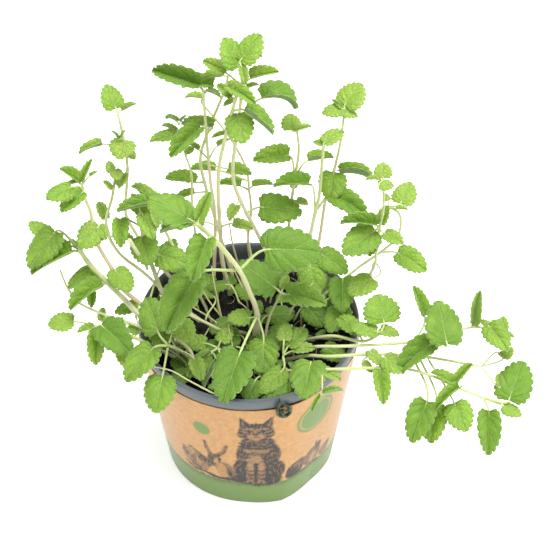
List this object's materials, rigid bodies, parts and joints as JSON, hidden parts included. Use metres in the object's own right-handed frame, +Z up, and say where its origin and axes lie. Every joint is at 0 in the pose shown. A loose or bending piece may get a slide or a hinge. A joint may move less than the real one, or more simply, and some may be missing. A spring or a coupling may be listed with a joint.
{
  "type": "potted catnip plant",
  "caption": "Young catnip with many thin leafy stems spreading from peat in a round grey plastic pot, inside a printed kraft cardboard sleeve.",
  "frame": {"origin": "centre of the underside of the pot", "axes": "+Z up along the pot's axis; the printed front of the sleeve faces -Y"},
  "size_m": [0.288, 0.155, 0.2708],
  "materials": {
    "grey_plastic": "satin",
    "kraft_board": "matte",
    "peat": "matte",
    "stem": "satin",
    "leaf": "matte"
  },
  "bodies": {
    "root": {"leaf_01": "leaf", "leaf_02": "leaf", "leaf_03": "leaf", "leaf_04": "leaf", "leaf_05": "leaf", "leaf_06": "leaf", "leaf_07": "leaf", "leaf_08": "leaf", "leaf_09": "leaf", "leaf_10": "leaf", "leaf_11": "leaf", "leaf_12": "leaf", "leaf_13": "leaf", "leaf_14": "leaf", "leaf_15": "leaf", "leaf_16": "leaf", "leaf_17": "leaf", "leaf_18": "leaf", "leaf_19": "leaf", "leaf_20": "leaf", "leaf_21": "leaf", "leaf_22": "leaf", "leaf_23": "leaf", "leaf_24": "leaf", "leaf_25": "leaf", "leaf_26": "leaf", "pot": "grey_plastic", "sleeve": "kraft_board", "soil": "peat", "stem_01": "stem", "stem_02": "stem", "stem_03": "stem", "stem_04": "stem", "stem_05": "stem", "stem_06": "stem", "stem_07": "stem", "stem_08": "stem", "stem_09": "stem", "stem_10": "stem", "stem_11": "stem", "stem_12": "stem", "stem_13": "stem", "stem_14": "stem", "stem_15": "stem", "stem_16": "stem", "stem_17": "stem", "stem_18": "stem", "stem_19": "stem", "stem_20": "stem", "stem_21": "stem", "stem_22": "stem", "stem_23": "stem", "stem_24": "stem", "stem_25": "stem", "stem_26": "stem", "stem_27": "stem", "stem_28": "stem"}
  },
  "joints": []
}
